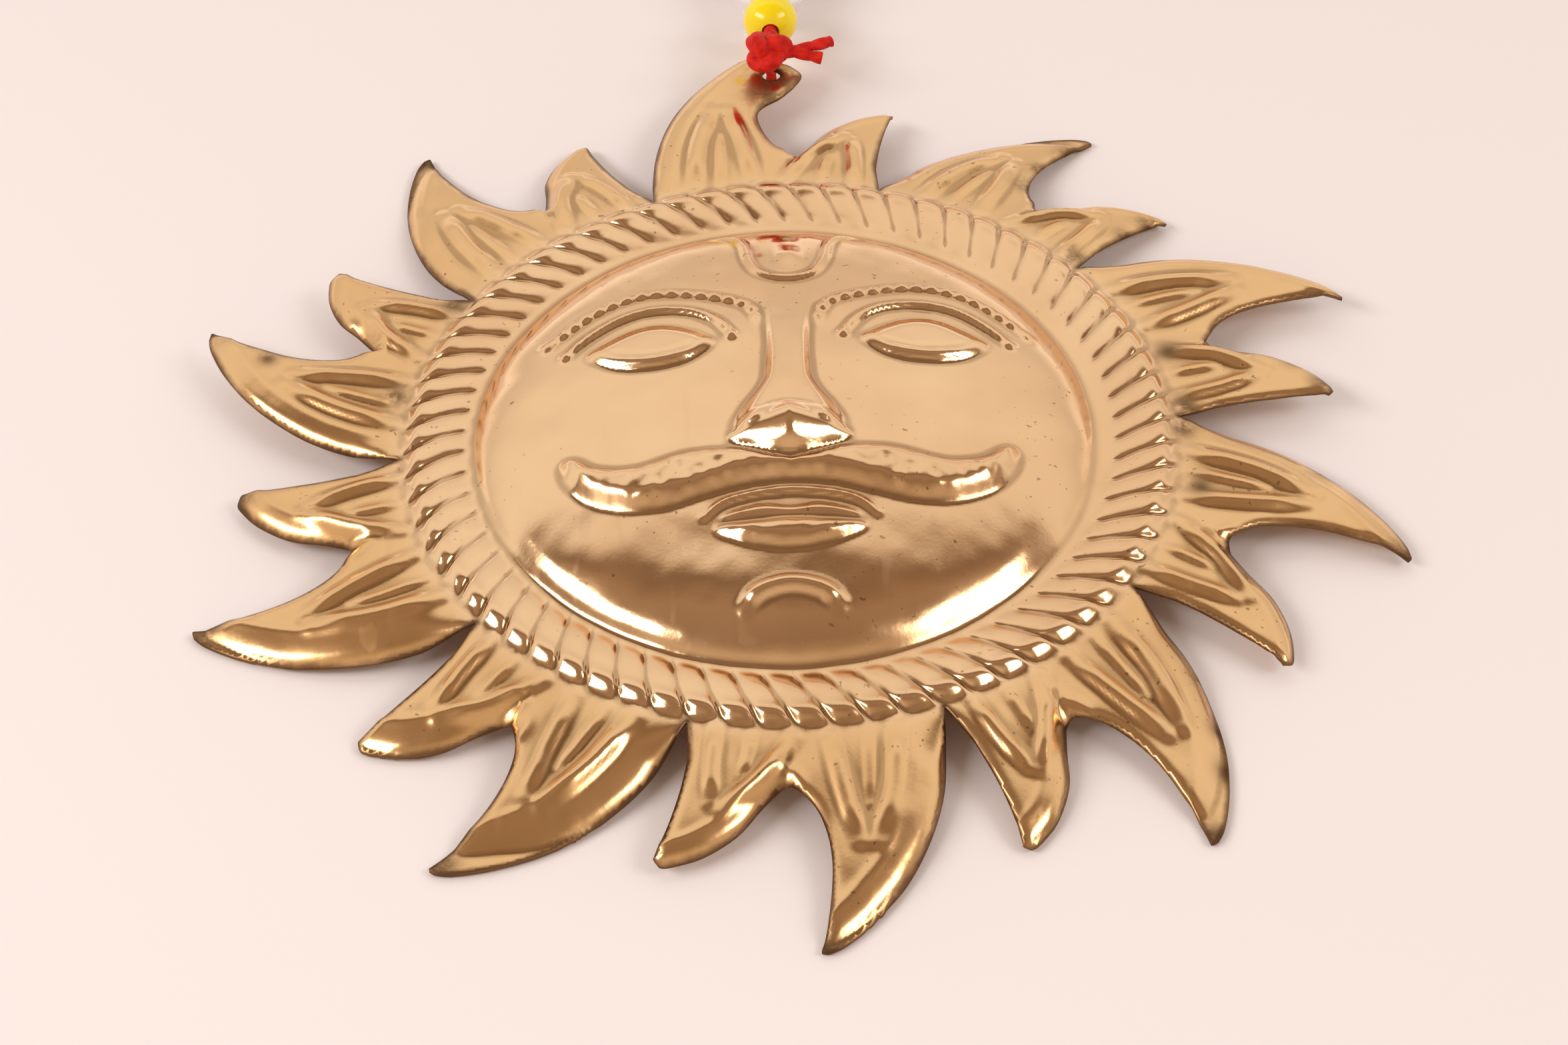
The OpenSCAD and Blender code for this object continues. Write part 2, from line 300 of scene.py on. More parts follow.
BROW = [(3.0, 10.2), (3.6, 12.4), (5, 13.9), (8, 15.2), (12, 16.3), (16, 16.1), (20, 14.2), (24.4, 10.2)]
LID = [(5.6, 8.2), (7.2, 10.8), (9.8, 12.7), (13.5, 13.4), (17, 12.6), (20, 10.6), (22.4, 8.0)]
EYE = [(7.9, 7.4), (10.5, 9.6), (14, 10.4), (17.2, 9.2), (19.6, 7.2), (17, 5.4), (13.5, 4.8), (10.2, 5.5)]
MOUSTACHE = [(0, -9.9), (5, -8.6), (10, -8.4), (15, -9.7), (19, -9.0), (21.2, -7.4), (22.2, -7.8),
             (21.6, -10.0), (19.6, -12.4), (16, -14.1), (12, -14.3), (8, -13.3), (4, -12.3), (0, -12.0)]
LIP_LINE = [(-8.4, -16.3), (-6, -14.6), (0, -13.6), (6, -14.6), (8.4, -16.3)]
UPPER_LIP = [(-6.5, -16.6), (-3, -15.4), (0, -15.7), (3, -15.4), (6.5, -16.6), (3, -17.0), (0, -16.9),
             (-3, -17.0)]
LOWER_LIP = [(-7.0, -17.8), (-3, -17.4), (0, -17.2), (3, -17.4), (7.0, -17.8), (3.8, -19.5), (0, -20.1),
             (-3.8, -19.5)]
CHIN_LINE = [(-4.5, -26.4), (-3.0, -25.0), (0, -24.3), (3.0, -25.0), (4.5, -26.4)]
BROW_MARK = [(-7.8, 27.7), (-5.8, 27.0), (-4.5, 24.8), (-3.9, 21.2), (-2.6, 18.8), (0, 17.9), (2.6, 18.8),
             (3.9, 21.2), (4.5, 24.8), (5.8, 27.0), (7.8, 27.7)]
FLAME = [(0, 19.6), (0.3, 21.5), (0, 25)]


def ridge(xy, line, half, high, taper=0.25, beads=0):
    """A raised line with a rounded top and crisp sides that thins toward its ends, or a row of beads."""
    d, along = line_distance(xy, smooth(line, 6))
    ends = step01(np.minimum(along, 1 - along) / taper)
    if beads:
        high = high * (0.4 + 0.6 * np.abs(np.sin(math.pi * beads * along)))
    return high * (0.35 + 0.65 * ends) * (1 - step01((d / half - 0.1) / 1.2))


def pad(xy, outline, edge, high):
    """A raised form with a rounded edge."""
    loop = smooth(outline, 6, closed=True)
    d, _ = line_distance(xy, np.vstack([loop, loop[:1]]))
    signed = np.where(inside(xy, loop), d, -d)
    return high * step01((signed + edge * 0.5) / (edge * 1.5)) ** 0.8


def face_relief(xy):
    """The raised face. The die was cut by hand, so its right side sits a little higher."""
    x, y = xy[:, 0], xy[:, 1] - 0.022 * xy[:, 0]
    both = np.column_stack([np.abs(x), y])
    xy = np.column_stack([x, y])
    z = np.zeros(len(xy))
    z += ridge(both, BROW, 0.62, 0.55, 0.08, beads=17)
    z += ridge(both, LID, 0.6, 0.6, 0.1)
    for end in (BROW[-1], LID[0], LID[-1]):
        z += 0.35 * np.exp(-(np.linalg.norm(both - end, axis=1) / 0.6) ** 2)
    z += pad(both, EYE, 1.5, 0.85)
    z += ridge(both, EYE[4:] + EYE[:1], 0.75, 0.55, 0.3)
    z += pad(both, MOUSTACHE + [(-3, -12.2), (-3, -9.6)], 1.5, 1.5) * (1 + 0.03 * waves(xy, 8, 1.9))
    z += ridge(xy, LIP_LINE, 0.5, 0.55, 0.2)
    z += pad(xy, UPPER_LIP, 0.9, 0.7)
    z += pad(xy, LOWER_LIP, 1.1, 1.0) * (1 + 0.04 * waves(xy, 9, 1.9))
    z += ridge(xy, CHIN_LINE, 1.1, 0.9, 0.15)
    z += ridge(xy, BROW_MARK, 0.6, 0.5, 0.12)
    z += ridge(xy, FLAME, 1.5, 0.45, 0.5)
    return z + nose(xy)


def nose(xy):
    """The bridge runs down from the brows and flares to a lens-shaped tip that is highest in its middle."""
    x, y = xy[:, 0], xy[:, 1]
    down = np.clip((13.5 - y) / 19.5, 0, 1)
    half = 2.5 - 0.5 * np.sin(math.pi * np.clip(down / 0.8, 0, 1)) + 2.6 * step01((down - 0.6) / 0.4)
    side = 1 - step01((np.abs(x) / half - 0.62) / 0.62)
    bridge = (0.45 + 1.4 * down) * side * step01((17.5 - y) / 8.0) * step01((y + 8.0) / 2.4)
    across = np.clip(np.abs(x) / 6.3, 0, 1)
    rise = (y + 6.6) / (3.0 * (1 - across ** 1.7) + 0.15)
    tip = 2.95 * (1 - across) ** 0.9 * np.clip(1 - rise ** 2, 0, 1) ** 0.8
    return np.maximum(bridge, tip) + 0.25 * np.minimum(bridge, tip)


def ray_relief(xy, edge):
    """Raised lines on the rays, and their edges rolled down, most on the outer side of a long ray."""
    z = np.zeros(len(xy))
    k, clockwise = pair_places(xy)
    r = np.linalg.norm(xy, axis=1)
    a = np.radians(clockwise)
    local = np.column_stack([r * np.sin(a), r * np.cos(a)])
    for line, half, high in RAY_LINES:
        z = np.maximum(z, ridge(local, line, half, high, 0.3))
    root = step01((r - 39.5) / 5)
    roll = np.array(ROLL)[k]
    for outer, share in ((LONG_OUTER, 1.0), (SHORT_OUTER, 0.7)):
        d, _ = line_distance(local, smooth(outer, 4))
        part = np.clip(1 - d / (roll[:, 0] * share), 0, 1)
        z = z - roll[:, 1] * share * part ** 1.6 * root
        z = z + 0.12 * np.exp(-((d - roll[:, 0] * share) / 0.5) ** 2) * root
    return z - 0.4 * (1 - np.clip(edge / 1.1, 0, 1)) ** 2 * step01((r - NOTCH_R) / 3)


def pressed(xy, edge):
    """Height of the sheet's top face over the notch plane."""
    r = np.linalg.norm(xy, axis=1)
    angle = np.arctan2(xy[:, 1], xy[:, 0])
    z = section(r, angle) + rope(r, angle)
    on_face = r < 31
    z[on_face] += face_relief(xy[on_face])
    on_rays = r > 37
    z[on_rays] += ray_relief(xy[on_rays], edge[on_rays])
    return z


def stray(xy, z):
    """Moves each ray off the pattern by its own amounts."""
    k, clockwise = pair_places(xy)
    r = np.linalg.norm(xy, axis=1)
    # The lug of the first pair reaches farther round than the other long rays
    split = 19.5 + 4.2 * step01((r - 49) / 5) * (k == 0)
    short = step01((clockwise - split) / 4.0)
    table = np.array(STRAY, float)
    amounts = table[k, 0] * (1 - short)[:, None] + table[k, 1] * short[:, None]
    reach = np.where(short > 0.5, SHORT_TIP_R, TIP_R)
    t = np.clip((r - NOTCH_R) / (reach - NOTCH_R), 0, 1.1)
    out = xy / np.maximum(r, 1)[:, None]
    clock = np.column_stack([out[:, 1], -out[:, 0]])
    moved = xy + (t ** 1.4)[:, None] * (amounts[:, :1] * out + amounts[:, 1:2] * clock)
    return moved, z - amounts[:, 2] * t ** 1.15


# Tarnish on the rays, as (pair, clockwise, outward, size) in the pairs' coordinates
STAINS = [(0, 19.5, 53, 2.8), (0, 17.5, 51.5, 2.0), (1, 14.9, 45.5, 1.3), (1, 15.4, 50, 1.3),
          (1, 18, 55, 1.6), (1, 27, 40, 1.3), (1, 29, 43.5, 1.4), (1, 22.5, 33.4, 1.4), (2, 20, 43.6, 1.0),
          (2, 25, 46.2, 1.2), (2, 29.5, 46, 1.6), (2, 15.5, 37.5, 1.4), (2, 22.5, 33.2, 1.6),
          (3, 11, 56.5, 1.4), (3, 7.5, 53, 1.5), (3, 1.8, 39.4, 1.4), (3, 10, 40, 1.3), (3, 19, 58.7, 1.8),
          (4, 5, 49, 1.0), (4, 8.5, 53.3, 1.0), (4, 12, 56, 1.1), (4, 19, 58.8, 1.6), (5, 19.2, 58.6, 1.8),
          (6, 18.6, 58.2, 1.5), (7, 18.5, 58.4, 2.0), (7, 30, 45.9, 1.5), (8, 19.6, 58.3, 1.7),
          (8, 15, 52.7, 1.0), (8, 9, 39.4, 1.4), (8, 22.5, 33.4, 1.5), (9, 19, 58.8, 1.5)]

# Left-over paint, as (across, up, size) in the frame's axes
RED_PAINT = [(13.6, 40.2, 0.5), (14.2, 42.0, 0.5), (17.5, 41.0, 0.35), (19.6, 44.6, 0.35),
             (21.6, 47.8, 0.35), (-3.4, 24.2, 0.5), (-2.8, 22.6, 0.4), (-0.4, 24.4, 0.4), (1.0, 23.2, 0.3)]
YELLOW_PAINT = [(-6.9, 26.4, 0.8), (-5.6, 25.4, 0.6), (-2.7, 25.6, 0.4), (5.9, 26.1, 0.4),
                (-4.6, 56.4, 0.6)]


def traces(xy, places):
    """How strongly each point is marked by soft round spots at the places."""
    mark = np.zeros(len(xy))
    for x, y, size in places:
        mark = np.maximum(mark, np.exp(-((xy[:, 0] - x) ** 2 + (xy[:, 1] - y) ** 2) / size ** 2))
    return mark


def stains():
    """The tarnish's places in the frame's axes."""
    return [(*from_pair([(x, y)], k)[0], size) for k, x, y, size in STAINS]


def sheet_points(outline, hole):
    """Points over the plate: rings where the border is, an even grid elsewhere."""
    grids = []
    reach = 66.0
    for step, low, high in ((0.34, 0.0, BORDER_IN), (0.36, BORDER_OUT, reach)):
        rows = np.arange(-reach, reach, step * math.sqrt(3) / 2)
        cols = np.arange(-reach, reach, step)
        x, y = np.meshgrid(cols, rows)
        x = x + (np.arange(len(rows)) % 2)[:, None] * step / 2
        xy = np.column_stack([x.ravel(), y.ravel()])
        r = np.linalg.norm(xy, axis=1)
        grids.append(xy[(r >= low) & (r < high)])
    rings = []
    around = 12 * STRANDS
    for i, r in enumerate(np.arange(BORDER_IN + 0.2, BORDER_OUT, 0.22)):
        a = np.linspace(0, 2 * math.pi, around, endpoint=False) + (i % 2) * math.pi / around
        rings.append(np.column_stack([r * np.cos(a), r * np.sin(a)]))
    xy = np.vstack(grids + rings)
    near_edge = distances(xy, outline) < 0.2
    near_hole = np.linalg.norm(xy - hole, axis=1) < HOLE_R + 0.25
    return xy[~near_edge & ~near_hole]


def distances(xy, points):
    """How far each place is from the nearest of the points."""
    tree = KDTree(len(points))
    for i, p in enumerate(points):
        tree.insert((p[0], p[1], 0), i)
    tree.balance()
    return np.array([tree.find((x, y, 0))[2] for x, y in xy])


def top_surface():
    """The sheet's top face from above: points, triangles, the outline and the hole's ring."""
    outline = star_outline(0.3)
    low, high = (np.array(v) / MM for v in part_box("tie_loop"))
    hole = np.array([(low[0] + high[0]) / 2, low[1] + THREAD_R])
    turn = np.linspace(0, 2 * math.pi, 28, endpoint=False)
    ring = hole + HOLE_R * np.column_stack([np.cos(turn), np.sin(turn)])
    xy = np.vstack([outline, ring, sheet_points(outline, hole)])
    n, m = len(outline), len(ring)
    edges = [(i, (i + 1) % n) for i in range(n)] + [(n + i, n + (i + 1) % m) for i in range(m)]
    found = delaunay_2d_cdt([Vector(p) for p in xy], edges, [], 1, 1e-6)
    places = np.array([v[:] for v in found[0]])
    triangles = np.array([f[:] for f in found[2]])
    middles = places[triangles].mean(axis=1)
    triangles = triangles[np.linalg.norm(middles - hole, axis=1) > 0.99 * HOLE_R]
    used = np.unique(triangles)
    number = np.full(len(places), -1)
    number[used] = np.arange(len(used))
    return places[used], number[triangles], outline, ring


def vertex_normals(points, triangles):
    """Each point's normal, from the faces round it by their areas."""
    a, b, c = (points[triangles[:, k]] for k in range(3))
    face = np.cross(b - a, c - a)
    out = np.zeros_like(points)
    for k in range(3):
        np.add.at(out, triangles[:, k], face)
    return out / np.linalg.norm(out, axis=1)[:, None]


def rim_edges(triangles):
    """Directed edges that belong to one triangle only."""
    sides = np.vstack([triangles[:, [0, 1]], triangles[:, [1, 2]], triangles[:, [2, 0]]])
    key = np.sort(sides, axis=1)
    _, first, count = np.unique(key, axis=0, return_index=True, return_counts=True)
    return sides[first[count == 1]]


def make_mesh(name, points, faces, material, values=None):
    """A smooth-shaded object from points in millimetres; values holds named numbers for its points."""
    mesh = bpy.data.meshes.new(name)
    mesh.from_pydata((np.asarray(points) * MM).tolist(), [], [list(map(int, f)) for f in faces])
    mesh.polygons.foreach_set("use_smooth", [True] * len(mesh.polygons))
    for key, numbers in (values or {}).items():
        layer = mesh.attributes.new(key, "FLOAT", "POINT")
        layer.data.foreach_set("value", np.asarray(numbers, dtype=np.float32))
    mesh.materials.append(material)
    piece = bpy.data.objects.new(name, mesh)
    bpy.context.scene.collection.objects.link(piece)
    return piece


def sun_sheet(material):
    """The whole pressed sheet: its top face, its under face and the cut edge between them."""
    xy, triangles, outline, ring = top_surface()
    from_outline = distances(xy, outline)
    z = pressed(xy, from_outline)
    marks = {"stain": traces(xy, stains()), "red": traces(xy, RED_PAINT), "yellow": traces(xy, YELLOW_PAINT),
             "ray": step01((np.linalg.norm(xy, axis=1) - 38) / 3),
             "edge": np.minimum(from_outline, distances(xy, ring))}
    xy, z = stray(xy, z)
    # Handling has left the sheet slightly uneven, and no part of it goes below what it lies on
    z = z + 0.05 * waves(xy, 5, 9.0) + 0.007 * waves(xy, 6, 3.6)
    z = np.maximum(z, SHEET - NOTCH_Z + 0.02)
    top = np.column_stack([xy, z + NOTCH_Z])
    normals = vertex_normals(top, triangles)
    under = top - normals * SHEET * 0.9
    under[:, 2] = np.maximum(under[:, 2], 0.0)
    count = len(top)
    rim = rim_edges(triangles)
    walls = [(b, a, a + count, b + count) for a, b in rim]
    faces = list(triangles) + list(triangles[:, ::-1] + count) + walls
    # How far each place lies below its neighbours; the metal's colour uses this for painted shade in creases
    # and grooves
    marks["hollow"] = hollowness(top, normals, triangles)
    return make_mesh("sun_sheet", np.vstack([top, under]), faces, material,
                     values={key: np.tile(mark, 2) for key, mark in marks.items()})


def hollowness(points, normals, triangles):
    """How much each place lies below those round it, in hundredths of a millimetre."""
    sides = np.vstack([triangles[:, [0, 1]], triangles[:, [1, 2]], triangles[:, [2, 0]]])
    both = np.vstack([sides, sides[:, ::-1]])
    total = np.zeros_like(points)
    count = np.zeros(len(points))
    np.add.at(total, both[:, 0], points[both[:, 1]])
    np.add.at(count, both[:, 0], 1)
    lift = ((total / count[:, None] - points) * normals).sum(axis=1) * 100
    for _ in range(3):
        blur = np.zeros(len(points))
        np.add.at(blur, both[:, 0], lift[both[:, 1]])
        lift = 0.5 * lift + 0.5 * blur / count
    return lift


# ---------------------------------------------------------------- materials

class Shader:
    """A small helper that adds nodes to one material and joins them up."""

    def __init__(self, name):
        self.material = bpy.data.materials.new(name)
        self.material.use_nodes = True
        self.tree = self.material.node_tree
        self.tree.nodes.clear()
        self.out = self.tree.nodes.new("ShaderNodeOutputMaterial")
        self.base = self.tree.nodes.new("ShaderNodeBsdfPrincipled")
        self.tree.links.new(self.base.outputs[0], self.out.inputs["Surface"])

    def link(self, source, target):
        self.tree.links.new(source, target)

    def node(self, kind, **settings):
        made = self.tree.nodes.new("ShaderNode" + kind)
        for key, value in settings.items():
            setattr(made, key, value)
        return made

    def put(self, node, key, value):
        if isinstance(value, bpy.types.NodeSocket):
            self.link(value, node.inputs[key])
        else:
            node.inputs[key].default_value = value

    def noise(self, scale, detail=4.0, rough=0.5, stretch=None):
        made = self.node("TexNoise")
        where = self.node("TexCoord").outputs["Object"]
        if stretch:
            mapping = self.node("Mapping")
            mapping.inputs["Scale"].default_value = stretch
            self.link(where, mapping.inputs["Vector"])
            where = mapping.outputs[0]
        self.link(where, made.inputs["Vector"])
        made.inputs["Scale"].default_value = scale
        made.inputs["Detail"].default_value = detail
        made.inputs["Roughness"].default_value = rough
        return made.outputs[0]

    def value(self, name):
        """One of the numbers that the mesh holds at its points."""
        return self.node("Attribute", attribute_name=name).outputs["Fac"]

    def math(self, operation, a, b=None, clamp=False):
        made = self.node("Math", operation=operation, use_clamp=clamp)
        self.put(made, 0, a)
        if b is not None:
            self.put(made, 1, b)
        return made.outputs[0]

    def ramp(self, source, low, high, out_low=0.0, out_high=1.0):
        made = self.node("MapRange", interpolation_type="SMOOTHSTEP")
        for key, value in (("Value", source), ("From Min", low), ("From Max", high), ("To Min", out_low),
                           ("To Max", out_high)):
            self.put(made, key, value)
        return made.outputs[0]

    def mix(self, amount, a, b):
        made = self.node("Mix", data_type="RGBA")
        self.put(made, 0, amount)
        self.put(made, 6, a)
        self.put(made, 7, b)
        return made.outputs[2]

    def bump(self, height, distance, strength=1.0, below=None):
        made = self.node("Bump")
        self.put(made, "Height", height)
        made.inputs["Distance"].default_value = distance
        made.inputs["Strength"].default_value = strength
        if below is not None:
            self.link(below, made.inputs["Normal"])
        return made.outputs[0]


def colour(red, green, blue):
    """A linear colour from display values between 0 and 255."""
    def linear(v):
        v /= 255.0
        return v / 12.92 if v <= 0.04045 else ((v + 0.055) / 1.055) ** 2.4
    return (linear(red), linear(green), linear(blue), 1.0)


def stamped_metal():
    """Polished sheet, darker at its worn edges, with painted shade in its hollows, and with tarnish, specks,
    scratches and paint.
    """
    s = Shader("stamped_metal")
    s.base.inputs["Metallic"].default_value = 1.0
    tone = s.mix(s.ramp(s.noise(45.0, 3.0), 0.35, 0.65), colour(238, 197, 152), colour(231, 187, 141))
    smudge = s.noise(160.0, 5.0, 0.6)
    grain = s.noise(700.0, 5.0, 0.7)
    near = s.math("ADD", s.value("edge"), s.math("MULTIPLY", smudge, -1.2))
    worn = s.ramp(near, -0.55, 0.1, 0.9, 0.0)
    tone = s.mix(s.math("MULTIPLY", s.value("ray"), 0.6), tone, colour(226, 178, 118))
    tone = s.mix(worn, tone, colour(108, 75, 48))
    # Painted shade: brown mixed in where the sheet lies below its surroundings, in its creases and grooves
    painted_recess_shade = s.ramp(s.value("hollow"), 0.4, 2.4)
    tone = s.mix(s.math("MULTIPLY", painted_recess_shade, 0.5), tone, colour(134, 98, 60))
    stain = s.math("MULTIPLY", s.value("stain"), s.ramp(s.math("ADD", smudge, grain), 0.7, 1.05), True)
    tone = s.mix(s.math("MULTIPLY", stain, 0.8), tone, colour(92, 65, 43))
    specks = s.ramp(s.noise(1500.0, 1.0), 0.70, 0.76)
    specks = s.math("MULTIPLY", specks, s.ramp(s.noise(70.0, 2.0), 0.48, 0.62))
    tone = s.mix(s.math("MULTIPLY", specks, 0.6), tone, colour(112, 78, 50))
    for name, paint in (("red", colour(190, 40, 24)), ("yellow", colour(232, 176, 20))):
        left = s.math("MULTIPLY", s.value(name), s.ramp(grain, 0.42, 0.55))
        tone = s.mix(left, tone, paint)
    s.link(tone, s.base.inputs["Base Color"])
    scratch = s.ramp(s.noise(420.0, 2.0, 0.5, (1.0, 0.06, 1.0)), 0.62, 0.7)
    rough = s.ramp(s.noise(90.0, 4.0, 0.6), 0.3, 0.75, 0.10, 0.2)
    rough = s.math("ADD", rough, s.math("MULTIPLY", worn, 0.25))
    rough = s.math("ADD", rough, s.math("MULTIPLY", stain, 0.3))
    rough = s.math("ADD", rough, s.math("MULTIPLY", scratch, 0.06))
    rough = s.math("ADD", rough, s.math("MULTIPLY", s.value("ray"), 0.06))
    s.link(rough, s.base.inputs["Roughness"])
    fine = s.bump(s.noise(2500.0, 2.0), 0.00002, 0.25)
    s.link(s.bump(s.noise(220.0, 3.0), 0.0001, 0.25, fine), s.base.inputs["Normal"])
    return s.material


def red_thread():
    """Dull cotton, uneven in its dye."""
    s = Shader("red_thread")
    tone = s.mix(s.ramp(s.noise(900.0, 4.0), 0.35, 0.7), colour(222, 34, 16), colour(182, 16, 8))
    s.link(tone, s.base.inputs["Base Color"])
    s.base.inputs["Roughness"].default_value = 0.62
    s.base.inputs["Specular IOR Level"].default_value = 0.2
    s.base.inputs["Sheen Weight"].default_value = 0.08
    s.base.inputs["Sheen Roughness"].default_value = 0.4
    s.link(s.bump(s.noise(5200.0, 3.0, 0.6), 0.00006, 0.6), s.base.inputs["Normal"])
    return s.material


def yellow_plastic():
    s = Shader("yellow_bead")
    tone = s.mix(s.ramp(s.noise(260.0, 2.0), 0.35, 0.65), colour(252, 226, 20), colour(248, 216, 12))
    s.link(tone, s.base.inputs["Base Color"])
    s.base.inputs["Roughness"].default_value = 0.16
    s.base.inputs["IOR"].default_value = 1.49
    s.base.inputs["Subsurface Weight"].default_value = 0.3
    s.base.inputs["Subsurface Radius"].default_value = (0.002, 0.0016, 0.0004)
    s.base.inputs["Subsurface Scale"].default_value = 1.0
    s.link(s.bump(s.noise(420.0, 2.0), 0.0001, 0.15), s.base.inputs["Normal"])
    return s.material


def clear_plastic():
    s = Shader("clear_bead")
    s.base.inputs["Base Color"].default_value = (0.98, 0.97, 0.95, 1.0)
    s.base.inputs["Transmission Weight"].default_value = 1.0
    s.base.inputs["IOR"].default_value = 1.49
    s.link(s.ramp(s.noise(300.0, 3.0), 0.3, 0.7, 0.02, 0.08), s.base.inputs["Roughness"])
    s.link(s.bump(s.noise(350.0, 2.0), 0.0001, 0.1), s.base.inputs["Normal"])
    return s.material


def pale_cloth():
    s = Shader("pale_floor")
    s.base.inputs["Base Color"].default_value = colour(243, 233, 231)
    s.base.inputs["Roughness"].default_value = 0.9
    return s.material


# ---------------------------------------------------------------- thread, knots and beads

def frames(path):
    """Tangents and two steady side directions along a path."""
    t = np.gradient(path, axis=0)
    t /= np.linalg.norm(t, axis=1)[:, None]
    start = [0, 0, 1.0] if abs(t[0, 2]) < 0.9 else [1.0, 0, 0]
    a = np.cross(t[0], start)
    a /= np.linalg.norm(a)
    sides = []
    for row in t:
        a = a - row * (a @ row)
        a /= np.linalg.norm(a)
        sides.append(a)
    sides = np.array(sides)
    return t, sides, np.cross(t, sides)


def yarn(path, radius, plies=2, pitch=4.0, around=20, ends=(1.0, 1.0)):
    """A twisted thread round a path: points and faces of one closed tube with a groove between plies."""
    path = np.asarray(path, float)
    _, a, b = frames(path)
    far = np.concatenate([[0], np.cumsum(np.linalg.norm(np.diff(path, axis=0), axis=1))])
    turn = np.linspace(0, 2 * math.pi, around, endpoint=False)
    points = []
    for i, middle in enumerate(path):
        twist = 2 * math.pi * far[i] / (pitch * radius * 2)
        lobes = np.abs(np.cos((turn - twist) * plies / 2)) ** 0.6
        size = radius * (0.74 + 0.26 * lobes)
        share = far[i] / far[-1]
        size = size * (ends[0] * (1 - share) + ends[1] * share)
        around_it = np.cos(turn)[:, None] * a[i] + np.sin(turn)[:, None] * b[i]
        points.append(middle + size[:, None] * around_it)
    n = len(path)
    faces = []
    for i in range(n - 1):
        for k in range(around):
            j = (k + 1) % around
            faces.append((i * around + k, i * around + j, (i + 1) * around + j, (i + 1) * around + k))
    faces.append(tuple(range(around))[::-1])
    faces.append(tuple((n - 1) * around + k for k in range(around)))
    return np.vstack(points), faces


def knot_mesh(middle, size, radius, lean):
    """A tight overhand knot: a trefoil wound down on itself."""
    t = np.linspace(0, 2 * math.pi, 150)
    x = np.sin(t) + 1.55 * np.sin(2 * t)
    y = np.cos(t) - 1.55 * np.cos(2 * t)
    z = -1.5 * np.sin(3 * t)
    path = np.column_stack([x, y, z])
    path *= (size - radius) / np.abs(path).max()
    path[:, 2] *= 0.95
    path = path @ np.array(Matrix.Rotation(lean, 3, "X").transposed()) @ np.array(
        Matrix.Rotation(0.6 * lean, 3, "Y").transposed())
    return yarn(path + middle, radius, plies=3, pitch=5.0, around=24)


def bead_mesh(middle, axis, radius):
    """A moulded bead: round outside, softened where the hole breaks out, open through its middle."""
    flat, around = 0.97, 72
    out = math.asin(BORE / radius) * 1.08
    profile = [(radius * math.sin(a), radius * flat * math.cos(a))
               for a in np.linspace(out, math.pi - out, 40)]
    inner = radius * flat * math.cos(out)
    profile += [(BORE * 1.04, -inner * 1.005), (BORE, -inner * 0.97), (BORE, -inner * 0.4),
                (BORE, inner * 0.4), (BORE, inner * 0.97), (BORE * 1.04, inner * 1.005)]
    axis = np.array(axis) / np.linalg.norm(axis)
    a = np.cross(axis, [0, 0, 1.0])
    a /= np.linalg.norm(a)
    b = np.cross(axis, a)
    turn = np.linspace(0, 2 * math.pi, around, endpoint=False)
    points = []
    for r, h in profile:
        points.append(middle + axis * h + r * (np.cos(turn)[:, None] * a + np.sin(turn)[:, None] * b))
    n = len(profile)
    faces = [(i * around + k, i * around + (k + 1) % around,
              ((i + 1) % n) * around + (k + 1) % around, ((i + 1) % n) * around + k)
             for i in range(n) for k in range(around)]
    return np.vstack(points), faces


# The hanging loop's route, as the CAD has it: down from the upper knot, round on the surface and back
LOOP_ROUTE = [(-0.4, 81.4, 2.7), (1.4, 83.6, 1.7), (3.6, 86.4, 0.9), (5.6, 89.8, 0.5), (6.8, 93.6, 0.5),
              (6.8, 97.4, 0.5), (5.4, 101, 0.5), (2.8, 103.6, 0.5), (-0.6, 104.6, 0.5), (-4, 103.8, 0.5),
              (-6.8, 101.4, 0.5), (-8.4, 98, 0.5), (-8.8, 94.2, 0.5), (-8, 90.4, 0.5), (-6.2, 86.9, 0.8),
              (-4.2, 83.9, 1.7), (-2.2, 81.5, 2.7)]


def finish_piece(piece, body, slot, *nodes):
    """Rides a piece on its body and hides the CAD nodes that it stands for. Its slot, the name of its
    finish, is not used.
    """
    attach(piece, body)
    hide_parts(*nodes)
    return piece


def hanging_loop(material):
    """The loop's piece, its path in millimetres and its length in metres."""
    path = smooth(LOOP_ROUTE, 8)
    points, faces = yarn(path, THREAD_R, around=16)
    loop = finish_piece(make_mesh("thread_loop", points, faces, material), "loop", "red_thread",
                        "hanging_loop")
    length = float(np.linalg.norm(np.diff(path, axis=0), axis=1).sum() * MM)
    return loop, path, length


